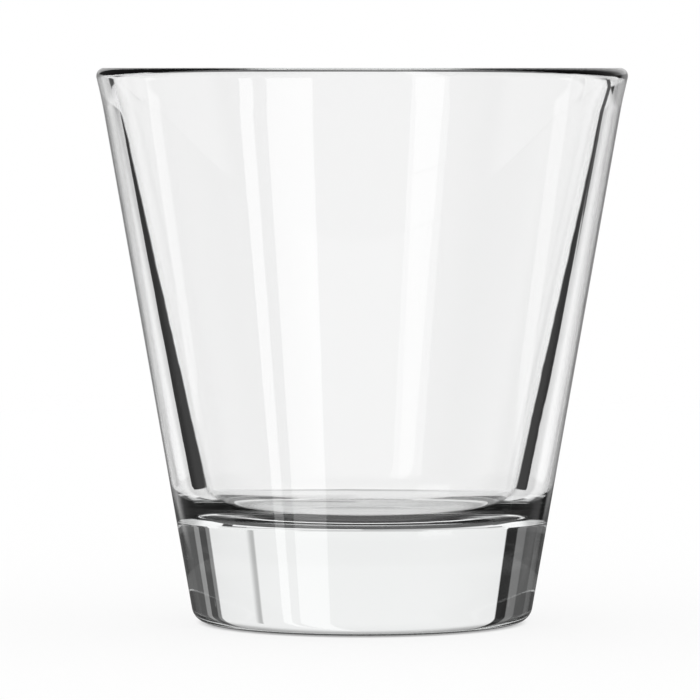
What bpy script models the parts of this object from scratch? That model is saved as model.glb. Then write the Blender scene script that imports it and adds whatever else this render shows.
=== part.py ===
"""A double old fashioned glass: a round, tapered tumbler with a heavy solid base.

The glass is one piece of pressed, fire-polished clear glass, turned about the Z axis.
It stands on the table plane z = 0, with its mouth up, and all sizes are in metres.
"""

import math

import bpy

# Overall sizes
HEIGHT = 0.1025
RIM_DIAMETER = 0.0982
# Outside diameter of the tapered side, carried down to the table as if the heel were sharp
FOOT_DIAMETER = 0.0623

# The cavity: the solid glass under it, and its width at the floor as if the corner were sharp.
# The floor is flat in the middle, dished upwards round that, and meets the wall in a fillet.
BASE_THICKNESS = 0.0197
CAVITY_FLOOR_DIAMETER = 0.0552
FLOOR_DISH_RADIUS = 0.0450
FLOOR_DISH_DEPTH = 0.0008
FLOOR_FILLET = 0.0061

# The lip, rounded by fire-polishing, and the flare that brings it a little proud of the tapered side.
# The slope is the flare's gain in radius per metre of height where it meets the lip.
LIP_OUTER_RADIUS = 0.0015
LIP_INNER_RADIUS = 0.00175
LIP_FLARE = 0.00026
LIP_FLARE_HEIGHT = 0.0063
LIP_FLARE_SLOPE = 0.24

# The foot: a rounded heel, a flat ring that bears on the table, and a shallow push-up inside it
HEEL_RADIUS = 0.0030
FOOT_RING_WIDTH = 0.0040
PUSH_UP_DEPTH = 0.0010

# Facets: steps round the axis, then the steps that each stretch of the outline is divided into
ROUND_STEPS = 72
LIP_STEPS = 6
FLARE_STEPS = 4
WALL_STEPS = 5
DISH_STEPS = 3
FILLET_STEPS = 6
HEEL_STEPS = 5
PUSH_UP_STEPS = 5

CLEAR_GLASS = (0.94, 0.96, 0.96, 1.0)
GLASS_ROUGHNESS = 0.02
GLASS_IOR = 1.52
MERGE_DISTANCE = 0.00001


def clear_scene():
    for old in list(bpy.data.objects):
        bpy.data.objects.remove(old, do_unlink=True)


def along(start, end, steps):
    """Points on a straight line, without its start."""
    return [
        (
            start[0] + (end[0] - start[0]) * i / steps,
            start[1] + (end[1] - start[1]) * i / steps,
        )
        for i in range(1, steps + 1)
    ]


def arc(centre, radius, start_angle, end_angle, steps):
    """Points on a circular arc in the radius and height plane, both ends included."""
    points = []
    for i in range(steps + 1):
        angle = start_angle + (end_angle - start_angle) * i / steps
        points.append((centre[0] + radius * math.cos(angle), centre[1] + radius * math.sin(angle)))
    return points


def cubic(p0, p1, p2, p3, steps):
    """Points on a cubic Bezier curve, without its start."""
    points = []
    for i in range(1, steps + 1):
        t = i / steps
        weights = ((1 - t) ** 3, 3 * t * (1 - t) ** 2, 3 * t**2 * (1 - t), t**3)
        points.append(
            tuple(sum(w * p[axis] for w, p in zip(weights, (p0, p1, p2, p3))) for axis in (0, 1))
        )
    return points


def outer_lip():
    """The lip's outer round, from its top past its widest point to where the flare meets it."""
    centre = (RIM_DIAMETER / 2 - LIP_OUTER_RADIUS, HEIGHT - LIP_OUTER_RADIUS)
    return arc(centre, LIP_OUTER_RADIUS, math.pi / 2, -math.atan(LIP_FLARE_SLOPE), LIP_STEPS)


def cavity_outline():
    """Floor centre, dished floor, fillet and inner wall, up and over to the top of the lip."""
    apex_radius = RIM_DIAMETER / 2 - LIP_OUTER_RADIUS
    lip_centre = (apex_radius, HEIGHT - LIP_INNER_RADIUS)
    corner = (CAVITY_FLOOR_DIAMETER / 2, BASE_THICKNESS)
    # The inner wall leaves the floor's corner and runs tangent to the lip's inner round
    across = lip_centre[0] - corner[0]
    up = lip_centre[1] - corner[1]
    lean = math.atan2(across, up) - math.asin(LIP_INNER_RADIUS / math.hypot(across, up))
    # The fillet runs tangent to the wall and to the edge of the dish
    dish_angle = math.acos(1 - FLOOR_DISH_DEPTH / FLOOR_DISH_RADIUS)
    dish_to_fillet = FLOOR_DISH_RADIUS - FLOOR_FILLET
    fillet_rise = FLOOR_DISH_RADIUS - dish_to_fillet * math.cos(dish_angle)
    fillet_across = corner[0] + fillet_rise * math.tan(lean) - FLOOR_FILLET / math.cos(lean)
    fillet_centre = (fillet_across, BASE_THICKNESS + fillet_rise)
    dish_centre = (
        fillet_across - dish_to_fillet * math.sin(dish_angle),
        BASE_THICKNESS + FLOOR_DISH_RADIUS,
    )
    edge = dish_angle - math.pi / 2
    dish = arc(dish_centre, FLOOR_DISH_RADIUS, -math.pi / 2, edge, DISH_STEPS)
    fillet = arc(fillet_centre, FLOOR_FILLET, edge, -lean, FILLET_STEPS)
    lip = arc(lip_centre, LIP_INNER_RADIUS, math.pi - lean, math.pi / 2, LIP_STEPS)
    floor = [(0.0, BASE_THICKNESS)] + dish + fillet[1:]
    return floor + along(floor[-1], lip[0], WALL_STEPS) + lip[1:]


def outside_outline():
    """From the top of the lip down the tapered side, round the heel and under the foot."""
    lip = outer_lip()
    foot_radius = FOOT_DIAMETER / 2
    slope = (lip[-1][0] - LIP_FLARE - foot_radius) / lip[-1][1]
    lean = math.atan(slope)
    # The flare leaves the lip at its own slope and eases into the tapered side
    flare_end_height = lip[-1][1] - LIP_FLARE_HEIGHT
    flare_end = (foot_radius + slope * flare_end_height, flare_end_height)
    handle = LIP_FLARE_HEIGHT / 3
    flare = cubic(
        lip[-1],
        (lip[-1][0] - LIP_FLARE_SLOPE * handle, lip[-1][1] - handle),
        (flare_end[0] + slope * handle, flare_end[1] + handle),
        flare_end,
        FLARE_STEPS,
    )
    # The heel touches the table and the side at the same distance from their corner
    reach = HEEL_RADIUS * math.tan((math.pi / 2 - lean) / 2)
    heel_centre = (foot_radius - reach, HEEL_RADIUS)
    heel = arc(heel_centre, HEEL_RADIUS, -lean, -math.pi / 2, HEEL_STEPS)
    side = along(flare[-1], heel[0], WALL_STEPS)
    # The push-up is a shallow dome whose rim is the inner edge of the bearing ring
    ring_inner = heel_centre[0] - FOOT_RING_WIDTH
    dome_radius = (ring_inner**2 + PUSH_UP_DEPTH**2) / (2 * PUSH_UP_DEPTH)
    dome_angle = math.asin(ring_inner / dome_radius)
    dome_centre = (0.0, PUSH_UP_DEPTH - dome_radius)
    dome = arc(
        dome_centre, dome_radius, math.pi / 2 - dome_angle, math.pi / 2, PUSH_UP_STEPS
    )
    dome[0] = (ring_inner, 0.0)
    dome[-1] = (0.0, PUSH_UP_DEPTH)
    return lip[1:] + flare + side + heel[1:] + dome


def glass_material():
    material = bpy.data.materials.new("clear_pressed_glass")
    material.use_nodes = True
    shader = material.node_tree.nodes["Principled BSDF"]
    shader.inputs["Base Color"].default_value = CLEAR_GLASS
    shader.inputs["Roughness"].default_value = GLASS_ROUGHNESS
    shader.inputs["Metallic"].default_value = 0.0
    shader.inputs["IOR"].default_value = GLASS_IOR
    shader.inputs["Transmission Weight"].default_value = 1.0
    return material


def glass_tumbler(collection):
    """The whole glass: its outline as a profile at +X, turned a full circle about Z."""
    outline = cavity_outline() + outside_outline()
    mesh = bpy.data.meshes.new("glass_tumbler")
    mesh.from_pydata(
        [(radius, 0.0, height) for radius, height in outline],
        [(i, i + 1) for i in range(len(outline) - 1)],
        [],
    )
    tumbler = bpy.data.objects.new("glass_tumbler", mesh)
    collection.objects.link(tumbler)
    turning = tumbler.modifiers.new("turned", "SCREW")
    turning.axis = "Z"
    turning.angle = math.tau
    turning.screw_offset = 0.0
    turning.steps = ROUND_STEPS
    turning.render_steps = ROUND_STEPS
    turning.use_merge_vertices = True
    turning.merge_threshold = MERGE_DISTANCE
    turning.use_smooth_shade = True
    tumbler.data.materials.append(glass_material())
    return tumbler


clear_scene()
parts = bpy.data.collections.new("double_old_fashioned_glass")
bpy.context.scene.collection.children.link(parts)
glass_tumbler(parts)
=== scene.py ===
"""The looks of a double old fashioned glass: one clear pressed tumbler, standing on a white table."""

import math

import bpy
import numpy as np
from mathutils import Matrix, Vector


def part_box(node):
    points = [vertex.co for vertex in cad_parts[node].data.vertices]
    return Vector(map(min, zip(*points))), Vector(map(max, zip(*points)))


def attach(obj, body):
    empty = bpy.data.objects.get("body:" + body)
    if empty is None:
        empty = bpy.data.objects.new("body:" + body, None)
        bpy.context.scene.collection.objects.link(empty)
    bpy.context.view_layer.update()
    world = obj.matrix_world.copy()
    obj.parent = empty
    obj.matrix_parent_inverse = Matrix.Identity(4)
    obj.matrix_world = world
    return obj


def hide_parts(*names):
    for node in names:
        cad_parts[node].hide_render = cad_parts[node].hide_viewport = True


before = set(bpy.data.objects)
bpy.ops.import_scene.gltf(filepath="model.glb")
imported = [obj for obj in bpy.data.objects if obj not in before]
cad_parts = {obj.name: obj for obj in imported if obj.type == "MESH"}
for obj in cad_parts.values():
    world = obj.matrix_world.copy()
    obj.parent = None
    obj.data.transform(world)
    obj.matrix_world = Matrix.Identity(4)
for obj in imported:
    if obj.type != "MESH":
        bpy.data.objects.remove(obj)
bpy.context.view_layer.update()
scene = bpy.context.scene


# Glass tumbler
# One gob of clear soda-lime glass, pressed between a mould and a plunger, so that the wall and the solid
# base are a single body. Fire-polishing rounds the lip. Nothing is fixed to it: it stands on the ring
# under its foot.

tumbler_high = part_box("glass_tumbler")[1]
height = tumbler_high.z
rim_radius = tumbler_high.x
foot_radius = 0.03115
base_thickness = 0.0197
cavity_floor_radius = 0.0276
floor_dish_round = 0.045
floor_dish_depth = 0.0008
floor_round = 0.0057
floor_ease = math.radians(20)
lip_outer_round = 0.0015
lip_inner_round = 0.00175
lip_flare = 0.00026
lip_flare_height = 0.0063
lip_flare_slope = 0.24
heel_round = 0.0030
foot_ring_width = 0.0040
push_up_depth = 0.0010
# The plunger sat a little off the mould's axis, the floor sank a little to one side before it set,
# and the wall cooled with a slight ripple. The sinking and the ripple die out over their fade heights.
plunger_offset = -0.00018
floor_tilt = 0.003
tilt_fade = 0.016
inner_ripple = 0.000005
outer_ripple = 0.000003
ripple_fade = 0.012
# Each wave of the ripple: its share, its waves round the glass, its start and its radians per metre up
ripple_waves = ((1.0, 2, 0.7, 55), (0.8, 3, -1.1, -80), (0.5, 5, 0.0, 120))
steps_round = 384
floor_steps = 10
corner_steps = 72
wall_steps = 48
inner_lip_steps = 14
outer_lip_steps = 16
flare_steps = 12
heel_steps = 16
ring_steps = 4
push_up_steps = 12


def straight(start, end, steps):
    """Points start + (end - start) t of a line in the radius and height plane, without its end."""
    t = np.arange(steps)[:, None] / steps
    return np.array(start) + (np.array(end) - np.array(start)) * t


def rounded(centre, radius, first, last, steps):
    """Points centre + radius (cos a, sin a) of an arc, a running from first to last, without its end."""
    a = first + (last - first) * np.arange(steps) / steps
    return np.array(centre) + radius * np.stack([np.cos(a), np.sin(a)], axis=1)


def eased(start, start_handle, end_handle, end, steps):
    """Points of a cubic Bezier curve between start and end, without its end."""
    t = np.arange(steps)[:, None] / steps
    corners = [np.array(p) for p in (start, start_handle, end_handle, end)]
    weights = [(1 - t) ** 3, 3 * t * (1 - t) ** 2, 3 * t**2 * (1 - t), t**3]
    return sum(w * p for w, p in zip(weights, corners))


def eased_corner(lean, steps):
    """Points of the dish and the round between floor and wall, from the floor up, from their sharp corner.

    Going down the wall by a length s, its bend grows evenly from 0 to 1 / floor_round while it turns by
    floor_ease, and then stays: turned = s^2 / (2 floor_round eased_length), and from there on
    turned = floor_ease + (s - eased_length) / floor_round. The dish takes up what is left of the turn
    from the wall to the level floor: left = (length - s) / floor_dish_round.
    """
    dish_turn = math.acos(1 - floor_dish_depth / floor_dish_round)
    eased_length = 2 * floor_round * floor_ease
    round_length = eased_length + floor_round * (math.pi / 2 - lean - floor_ease - dish_turn)
    length = round_length + floor_dish_round * dish_turn
    s = (np.arange(steps) + 0.5) * length / steps
    turned = np.where(
        s < eased_length,
        s**2 / (2 * floor_round * eased_length),
        floor_ease + (s - eased_length) / floor_round,
    )
    turned = np.where(s < round_length, turned, math.pi / 2 - lean - (length - s) / floor_dish_round)
    heading = -math.pi / 2 - lean - turned
    path = np.cumsum(np.stack([np.cos(heading), np.sin(heading)], axis=1), axis=0) * length / steps
    path = np.concatenate([[(0, 0)], path])
    drop = -path[-1, 1]
    return path[::-1] + np.array([drop * math.tan(lean), drop])


def cavity_outline():
    """Flat middle of the floor, dish, eased corner, leaning wall and inner half of the lip, up to its top.

    Also how far each point follows the plunger: wholly in the cavity, and less and less over the lip.
    """
    lip_centre = np.array([rim_radius - lip_outer_round, height - lip_inner_round])
    corner = np.array([cavity_floor_radius, base_thickness])
    across, up = lip_centre - corner
    lean = math.atan2(across, up) - math.asin(lip_inner_round / math.hypot(across, up))
    floor_corner = corner + eased_corner(lean, corner_steps)
    wall_top = lip_centre + lip_inner_round * np.array([-math.cos(lean), math.sin(lean)])
    lip = rounded(lip_centre, lip_inner_round, math.pi - lean, math.pi / 2, inner_lip_steps)
    outline = [
        straight((0, base_thickness), floor_corner[0], floor_steps),
        floor_corner[:-1],
        straight(floor_corner[-1], wall_top, wall_steps),
        lip,
    ]
    follows = np.ones(sum(len(points) for points in outline))
    follows[-len(lip) :] = 1 - np.arange(len(lip)) / len(lip)
    return np.concatenate(outline), follows


def outside_outline():
    """Outer half of the lip, flare, leaning side, heel, bearing ring and domed push-up under the foot."""
    lip_centre = np.array([rim_radius - lip_outer_round, height - lip_outer_round])
    flare_lean = math.atan(lip_flare_slope)
    flare_top = lip_centre + lip_outer_round * np.array([math.cos(flare_lean), -math.sin(flare_lean)])
    slope = (flare_top[0] - lip_flare - foot_radius) / flare_top[1]
    lean = math.atan(slope)
    flare_foot_height = flare_top[1] - lip_flare_height
    flare_foot = np.array([foot_radius + slope * flare_foot_height, flare_foot_height])
    handle = lip_flare_height / 3
    reach = heel_round * math.tan((math.pi / 2 - lean) / 2)
    heel_centre = np.array([foot_radius - reach, heel_round])
    heel_top = heel_centre + heel_round * np.array([math.cos(lean), -math.sin(lean)])
    ring_inner = heel_centre[0] - foot_ring_width
    dome_radius = (ring_inner**2 + push_up_depth**2) / (2 * push_up_depth)
    dome_angle = math.asin(ring_inner / dome_radius)
    dome_centre = (0, push_up_depth - dome_radius)
    return np.concatenate(
        [
            rounded(lip_centre, lip_outer_round, math.pi / 2, -flare_lean, outer_lip_steps),
            eased(
                flare_top,
                flare_top - np.array([lip_flare_slope * handle, handle]),
                flare_foot + np.array([slope * handle, handle]),
                flare_foot,
                flare_steps,
            ),
            straight(flare_foot, heel_top, wall_steps),
            rounded(heel_centre, heel_round, -lean, -math.pi / 2, heel_steps),
            straight((heel_centre[0], 0), (ring_inner, 0), ring_steps),
            rounded(dome_centre, dome_radius, math.pi / 2 - dome_angle, math.pi / 2, push_up_steps),
            [(0, push_up_depth)],
        ]
    )


def turned_glass():
    """The outline (r, z) turned about Z: point = (r cos v, r sin v, z), v once round.

    The cavity's points also shift along X by the plunger's offset, and near the floor they sink by
    floor_tilt x. r gains a ripple: the sum of share cos(waves v + start + rise z) over its waves.
    The outline's two ends lie on the axis, with one vertex each.
    """
    cavity, follows = cavity_outline()
    outside = outside_outline()
    radius, level = np.concatenate([cavity, outside]).T
    follows = np.concatenate([follows, np.zeros(len(outside))])
    v = np.linspace(0, math.tau, steps_round, endpoint=False)
    r, z, inside = radius[1:-1, None], level[1:-1, None], follows[1:-1, None]
    wave = sum(
        share * np.cos(waves * v + start + rise * z) for share, waves, start, rise in ripple_waves
    )
    # The ripple dies out at the lip and towards the base
    below_lip = np.clip((height - z) / ripple_fade, 0, 1)
    above_base = np.clip((z - base_thickness) / ripple_fade, 0, 1)
    depth = outer_ripple + (inner_ripple - outer_ripple) * inside
    r = r + wave * (below_lip * above_base) * depth
    x = r * np.cos(v) + inside * plunger_offset
    sink = floor_tilt * x * inside * np.clip(1 - (z - base_thickness) / tilt_fade, 0, 1)
    rings = np.stack([x, r * np.sin(v), z - sink], axis=2)
    poles = [[plunger_offset, 0, level[0]], [0, 0, level[-1]]]
    points = np.concatenate([rings.reshape(-1, 3), poles])
    ring_count = len(rings)
    index = np.arange(ring_count * steps_round).reshape(ring_count, steps_round)
    onward = np.roll(index, -1, axis=1)
    quads = np.stack([index[:-1], index[1:], onward[1:], onward[:-1]], axis=2).reshape(-1, 4)
    floor_pole = len(points) - 2
    foot_pole = len(points) - 1
    floor_fan = np.stack([np.full(steps_round, floor_pole), index[0], onward[0]], axis=1)
    foot_fan = np.stack([np.full(steps_round, foot_pole), onward[-1], index[-1]], axis=1)
    mesh = bpy.data.meshes.new("tumbler")
    mesh.from_pydata(points, [], quads.tolist() + floor_fan.tolist() + foot_fan.tolist())
    mesh.shade_smooth()
    return mesh


class Shade:
    """An output socket of a node tree. Arithmetic on it adds Math nodes, and node() adds any other node."""

    def __init__(self, tree, socket=None):
        self.tree = tree
        self.socket = socket

    def node(self, kind, settings, values, output=0):
        """A new node: its settings first, then each input's value or link. Gives one of its outputs."""
        made = self.tree.nodes.new(kind)
        for name, setting in settings.items():
            setattr(made, name, setting)
        for name, value in values.items():
            if isinstance(value, Shade):
                self.tree.links.new(value.socket, made.inputs[name])
            else:
                made.inputs[name].default_value = value
        return Shade(self.tree, made.outputs[output])

    def also(self, output):
        """Another output of the node that this one comes from."""
        return Shade(self.tree, self.socket.node.outputs[output])

    def math(self, operation, first, second=0.0):
        return self.node("ShaderNodeMath", {"operation": operation}, {0: first, 1: second})

    def __add__(self, other):
        return self.math("ADD", self, other)

    def __radd__(self, other):
        return self.math("ADD", other, self)

    def __sub__(self, other):
        return self.math("SUBTRACT", self, other)

    def __rsub__(self, other):
        return self.math("SUBTRACT", other, self)

    def __mul__(self, other):
        return self.math("MULTIPLY", self, other)

    def __rmul__(self, other):
        return self.math("MULTIPLY", other, self)

    def rise(self, start, end):
        """0 below start, 1 above end, and a smooth step between them."""
        return self.node(
            "ShaderNodeMapRange",
            {"interpolation_type": "SMOOTHSTEP"},
            {"Value": self, "From Min": start, "From Max": end},
        )

    def band(self, low, high, soft):
        """1 between low and high, with edges that are soft wide to either side."""
        return self.rise(low - soft, low + soft) - self.rise(high - soft, high + soft)

    def levels(self, level, *steps):
        """The first level, then each step's level from its end on, with a smooth step from its start."""
        total = level
        for start, end, onward in steps:
            total = total + (onward - level) * self.rise(start, end)
            level = onward
        return total

    def towards(self, other, share):
        """This value, blended with another one by a share between 0 and 1."""
        return self + (other - self) * share


glass_index = 1.52
polished_roughness = 0.006
peel_grain = 160.0
peel_depth = 0.000004
scuff_height = (0.00005, 0.00035)
scuff_grain = 1800.0
scuff_depth = 0.00002
scuff_roughness = 0.12
scuff_unevenness = 0.3
# Thick glass takes about an eighth of the light in every ten centimetres
depth_colour = (0.892, 0.904, 0.900, 1.0)
depth_density = 14.0


def clear_pressed_glass():
    """Water-clear glass with a faint orange peel from the mould, and a bearing ring that tables scuffed."""
    material = bpy.data.materials.new("clear_pressed_glass")
    material.use_nodes = True
    tree = material.node_tree
    shader = tree.nodes["Principled BSDF"]
    shader.inputs["Base Color"].default_value = (1.0, 1.0, 1.0, 1.0)
    shader.inputs["IOR"].default_value = glass_index
    shader.inputs["Transmission Weight"].default_value = 1.0
    place = Shade(tree).node("ShaderNodeTexCoord", {}, {}, "Object")
    level = place.node("ShaderNodeSeparateXYZ", {}, {"Vector": place}, "Z")
    scuffed = 1 - level.rise(*scuff_height)
    scuffs = place.node("ShaderNodeTexNoise", {}, {"Vector": place, "Scale": scuff_grain, "Detail": 3.0})
    peel = place.node("ShaderNodeTexNoise", {}, {"Vector": place, "Scale": peel_grain, "Detail": 1.0})
    roughness = polished_roughness + scuffed * (scuff_roughness + scuff_unevenness * scuffs)
    relief = peel_depth * peel + scuff_depth * scuffed * scuffs
    bump = relief.node("ShaderNodeBump", {}, {"Height": relief, "Distance": 1.0, "Strength": 1.0})
    tree.links.new(roughness.socket, shader.inputs["Roughness"])
    tree.links.new(bump.socket, shader.inputs["Normal"])
    depth = tree.nodes.new("ShaderNodeVolumeAbsorption")
    depth.inputs["Color"].default_value = depth_colour
    depth.inputs["Density"].default_value = depth_density
    tree.links.new(depth.outputs["Volume"], tree.nodes["Material Output"].inputs["Volume"])
    return material


tumbler = bpy.data.objects.new("tumbler", turned_glass())
scene.collection.objects.link(tumbler)
tumbler.data.materials.append(clear_pressed_glass())
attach(tumbler, "root")
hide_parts("glass_tumbler")


# Table top
# A matt white board that the glass stands on, fading out at its far edge. Seen through the glass it ends
# near the foot, and light that was mirrored in the glass meets it only in a strip of painted shade. Its glow
# is painted darker under the foot as a shadow.

table_radius = 1.8
table_centre_y = -1.0
table_fade = (1.6, 1.75)
foot_fade = (0.056, 0.066)
table_gap = 0.0002
table_white = 0.18
# Painted shadow under the foot: the share of the board's glow that is kept, from the axis outwards
painted_foot_shadow_levels = (0.75, (0.024, 0.026, 0.45), (0.028, 0.031, 1.0))
table_rings = 8
table_steps = 96
shade_width = 0.029
shade_length = 0.085
shade_soft = 0.0025


def round_table_top():
    """A disc: point = centre + s radius (cos a, sin a), s from 0 to 1 and a once round."""
    s = np.linspace(0, 1, table_rings + 1)[1:, None]
    a = np.linspace(0, math.tau, table_steps, endpoint=False)
    x = s * table_radius * np.cos(a)
    y = s * table_radius * np.sin(a) + table_centre_y
    points = np.stack([x, y, 0 * x - table_gap], axis=2).reshape(-1, 3)
    points = np.concatenate([points, [[0, table_centre_y, -table_gap]]])
    index = np.arange(table_rings * table_steps).reshape(table_rings, table_steps)
    onward = np.roll(index, -1, axis=1)
    quads = np.stack([index[:-1], index[1:], onward[1:], onward[:-1]], axis=2).reshape(-1, 4)
    fan = np.stack([np.full(table_steps, len(points) - 1), index[0], onward[0]], axis=1)
    mesh = bpy.data.meshes.new("table_top")
    mesh.from_pydata(points, [], quads.tolist() + fan.tolist())
    return mesh


def matt_white_board():
    """White that reaches full white in the studio's light, with a painted shadow under the foot, see-through
    at its edge and to mirrored light.
    """
    material = bpy.data.materials.new("matt_white_board")
    material.use_nodes = True
    tree = material.node_tree
    tree.nodes.clear()
    place = Shade(tree).node("ShaderNodeTexCoord", {}, {}, "Object")
    from_centre = place.node(
        "ShaderNodeVectorMath",
        {"operation": "DISTANCE"},
        {0: place, 1: (0.0, table_centre_y, -table_gap)},
        "Value",
    )
    from_axis = place.node("ShaderNodeVectorMath", {"operation": "LENGTH"}, {0: place}, "Value")
    painted_foot_shadow = from_axis.levels(*painted_foot_shadow_levels)
    mirrors = place.node("ShaderNodeLightPath", {}, {}, "Glossy Depth")
    mirrored = mirrors.math("GREATER_THAN", mirrors, 0.5)
    # Mirrored light meets it only in a strip of painted shade under the foot and behind it
    aside = place.node("ShaderNodeSeparateXYZ", {}, {"Vector": place}, "X")
    shade = mirrored * aside.band(-shade_width / 2, shade_width / 2, shade_soft)
    shade = shade * aside.also("Y").band(-shade_soft, shade_length, shade_soft)
    # Light that came through the glass meets it only near the foot
    entered = mirrors.math("GREATER_THAN", mirrors.also("Transmission Depth"), 0.5)
    beyond = mirrors.math(
        "MAXIMUM", from_centre.rise(*table_fade), entered * from_axis.rise(*foot_fade)
    )
    solid = (1 - beyond) * (1 - mirrored) + shade
    board = place.node(
        "ShaderNodeBsdfDiffuse", {}, {"Color": (table_white, table_white, table_white, 1.0)}
    )
    # The glow is cut back by the painted shadow under the foot, and to nothing in the strip of painted shade
    glow = place.node("ShaderNodeEmission", {}, {"Color": (1 - table_white) * painted_foot_shadow * (1 - shade)})
    lit_board = place.node("ShaderNodeAddShader", {}, {0: board, 1: glow})
    clear = place.node("ShaderNodeBsdfTransparent", {}, {})
    surface = place.node("ShaderNodeMixShader", {}, {0: solid, 1: clear, 2: lit_board})
    output = tree.nodes.new("ShaderNodeOutputMaterial")
    tree.links.new(surface.socket, output.inputs["Surface"])
    return material


table_top = bpy.data.objects.new("table_top", round_table_top())
scene.collection.objects.link(table_top)
table_top.data.materials.append(matt_white_board())


# Studio
# A white room at a plain level. The glass looks through itself at a bright screen behind it, which dark
# flags frame at both sides, and mirrors a dim room with a few upright strip lights. Angles are degrees.

studio = bpy.data.worlds.new("studio")
scene.world = studio
studio.use_nodes = True
studio.node_tree.nodes.clear()
ray = Shade(studio.node_tree).node("ShaderNodeLightPath", {}, {}, "Is Camera Ray")
direction = ray.node("ShaderNodeTexCoord", {}, {}, "Generated")
east = direction.node("ShaderNodeSeparateXYZ", {}, {"Vector": direction}, "X")
north = east.also("Y")
upward = east.also("Z")
# Round from behind the glass to the right, round from the camera to the left, up, and to either side
round_back = ray.math("DEGREES", ray.math("ARCTAN2", east, north))
round_front = ray.math("DEGREES", ray.math("ARCTAN2", 0 - east, 0 - north))
climb = ray.math("DEGREES", ray.math("ARCSINE", upward))
sideways = ray.math("ABSOLUTE", round_back)
rightward = round_back.rise(-0.5, 0.5)

# What the glass shows by refraction alone: white, with dark flags high at both sides, a thin bar,
# a dark gap below and dusk above
flag_tone = round_back.levels(
    1.0,
    (-91, -89, 0.2),
    (-67, -65, 0.1),
    (-54, -52.5, 0.22),
    (-47, -46, 0.015),
    (-40.4, -39.6, 1.0),
    (44.2, 45, 0.27),
    (46.8, 47.4, 0.075),
    (52, 52.6, 0.36),
    (56.6, 57.4, 0.11),
    (64, 66, 0.14),
    (80, 84, 1.0),
)
low_flags = sideways.band(39, 48, 0.5) * climb.rise(1, 3)
flag_reach = ray.math("MAXIMUM", low_flags, climb.rise(9, 9.8))
bar = round_back.levels(0.0, (25.2, 25.9, 0.45), (26.2, 28.4, 0.0)) * climb.band(4, 14, 1)
gap_below = 0.87 * (1 - climb.rise(-33.5, -30.5)) * (1 - sideways.rise(24, 32))
dusk_above = climb.levels(1.0, (20, 33, 0.58), (33, 44, 0.35))
seen_through = (1 - (1 - flag_tone) * flag_reach) * (1 - bar) * (1 - gap_below) * dusk_above

# What the outer skin mirrors: a room that is pale beside the screen and dark below and above it,
# and strip lights
left_room = sideways.levels(
    0.4, (13, 19, 0.55), (20, 27, 0.97), (27, 40, 0.2), (40, 50, 0.15), (95, 140, 0.5)
)
right_room = sideways.levels(
    0.4, (13, 20, 0.45), (24, 31, 0.05), (34, 42, 0.3), (46, 55, 0.15), (95, 140, 0.5)
)
room = (0.15 + 0 * climb).towards(
    left_room.towards(right_room, rightward), (climb + 0.2 * sideways).rise(-3.75, -3.35)
)
left_ceiling = sideways.levels(0.67, (16, 19.5, 0.05))
right_ceiling = sideways.levels(0.9, (23, 31, 0.4), (32, 40, 0.12), (44, 60, 0.05))
room = room.towards(left_ceiling.towards(right_ceiling, rightward), climb.rise(2, 5))
below_strip_tops = 1 - climb.rise(-17.5, -16.5)
strips = (
    2.4 * round_front.band(22.3, 43.9, 0.7) * below_strip_tops
    + 2.6 * round_front.band(50.3, 57.0, 0.5) * below_strip_tops
    + 1.1 * round_front.band(102.5, 110.5, 1) * climb.band(-15.4, -10, 0.5)
    + 1.1 * round_front.band(-105.5, -96, 1) * climb.band(-16.3, -10, 0.5)
)
on_skin = ray.math("MAXIMUM", room, strips)

# What light shows that is mirrored inside the glass: a screen, white above a ground that slopes down to
# the sides, dark posts beside the screen, a dim front with one strip light, and white above the table
left_edge = climb.levels(62, (-20.6, -17.4, 35.0), (-17, -15, 33.5))
right_edge = climb.levels(62, (-20.6, -17.4, 38.4), (-16.2, -14.5, 35.0))
edge_blur = climb.levels(4.0, (-19.5, -17.2, 0.4))
beyond_edge = sideways - left_edge.towards(right_edge, rightward)
screen = sideways.levels(1.0, (24, 31, 0.72)) * (1 - beyond_edge.rise(0 - edge_blur, edge_blur))
screen = screen * (climb + 8 * sideways.rise(25, 35)).rise(-29, -27)
screen = screen * (1 - 0.4 * (1 - rightward) * climb.rise(-12, -10.5))
above_ground = (climb + 0.39 * sideways).rise(1.135, 1.635)
posts = (
    round_back.band(32.5, 36.8, 0.3) * climb.band(-13.2, -6.2, 0.3)
    + round_back.band(27.5, 36.8, 0.3) * climb.band(-6.2, -3.5, 0.3)
    + round_back.band(-36.8, -31, 0.3) * climb.band(-6.0, -4, 0.3)
)
back = ray.math("MAXIMUM", screen, above_ground) * (1 - 0.95 * posts)
front_strip = 1.5 * round_front.band(26.2, 43.3, 0.3) * climb.band(-30, 45, 0.6)
in_front = climb.levels(0.0, (-3, 1, 0.8), (11, 19, 0.15))
above_table = climb.band(0, 42, 2).towards(in_front, sideways.rise(95, 110))
above_table = above_table * sideways.levels(0.3, (8, 16, 1.0))
beside_line = sideways.levels(1.15, (46, 56, 0.7), (58, 76, 0.15))
beside_line = beside_line * (1 - 0.4 * climb.rise(-8, -5) * (1 - sideways.rise(34, 40)))
beside_line = beside_line + 0.35 * sideways.rise(110, 150) * (1 - climb.rise(-24, -20))
far_sides = 0.75 * sideways.band(55, 84, 4) * climb.band(-11.5, -2, 1)
in_near_wall = ray.math("MAXIMUM", back * beside_line, above_table)
in_near_wall = ray.math("MAXIMUM", in_near_wall, far_sides)
in_near_wall = in_near_wall * (1 - (1 - flag_tone) * climb.band(2.5, 9.5, 0.8))
in_near_wall = in_near_wall + climb.levels(0.09, (-60, -50, 0.02))
in_near_wall = in_near_wall + 0.03 * sideways.band(40, 56, 4) * climb.band(-22, -14, 2)
in_near_wall = ray.math("MAXIMUM", in_near_wall, front_strip * climb.rise(15.7, 16.9))
in_far_wall = back * sideways.levels(1.0, (55, 115, 0.15), (130, 160, 0.5))
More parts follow.
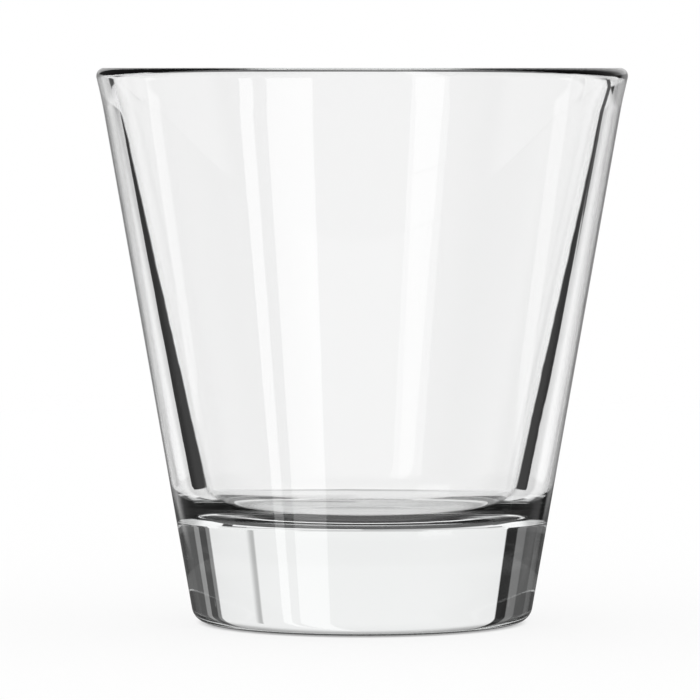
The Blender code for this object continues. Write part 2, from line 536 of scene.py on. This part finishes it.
in_far_wall = ray.math("MAXIMUM", in_far_wall, 0.15)
in_far_wall = ray.math("MAXIMUM", in_far_wall, front_strip)
in_many_turns = (1 - sideways.rise(12, 18)) * climb.band(-17, -10, 1)

# How often light was mirrored, and how often it was refracted, says which of these it shows
mirrors = ray.also("Glossy Depth")
mirrored = ray.math("GREATER_THAN", mirrors, 0.5)
many = ray.math("GREATER_THAN", mirrors, 2.5)
spent = ray.math("GREATER_THAN", mirrors, 4.5)
entered = ray.math("GREATER_THAN", ray.also("Transmission Depth"), 0.5)
far = ray.math("GREATER_THAN", ray.also("Transmission Depth"), 2.5)
inside = in_near_wall.towards(in_far_wall, far).towards(in_many_turns, many) * (1 - 0.95 * spent)
inside = ray.math("MAXIMUM", inside, 0.55 * many * far * climb.rise(38, 46))
in_lip = 0.95 * spent * (1 - far) * (1 - (climb - 0.72 * sideways).rise(-42, -36))
in_lip = in_lip * (1 - sideways.rise(30, 50))
inside = ray.math("MAXIMUM", inside, in_lip)
looks = seen_through.towards(on_skin.towards(inside, entered), mirrored)
through_glass = ray.math("MAXIMUM", entered, mirrored)
tone = looks * through_glass + (1 - through_glass)
sky = ray.node("ShaderNodeBackground", {}, {"Color": tone})
studio.node_tree.links.new(
    sky.socket, studio.node_tree.nodes.new("ShaderNodeOutputWorld").inputs["Surface"]
)


# Camera
# A long lens about a metre away, level with the rim, so that the rim closes to a line.

camera_distance = 1.056
frame_width = 0.1297
aim = Vector((-0.00224, 0.0, 0.0503))
lens_data = bpy.data.cameras.new("camera")
camera = bpy.data.objects.new("camera", lens_data)
scene.collection.objects.link(camera)
camera.location = (0.0, -camera_distance, height)
line_of_sight = aim - camera.location
camera.rotation_euler = line_of_sight.to_track_quat("-Z", "Y").to_euler()
lens_data.sensor_width = 36.0
lens_data.lens = lens_data.sensor_width * line_of_sight.length / frame_width
lens_data.clip_end = 20.0
scene.camera = camera

scene.cycles.max_bounces = 24
scene.cycles.transmission_bounces = 24
scene.cycles.glossy_bounces = 16
scene.view_settings.view_transform = "Standard"
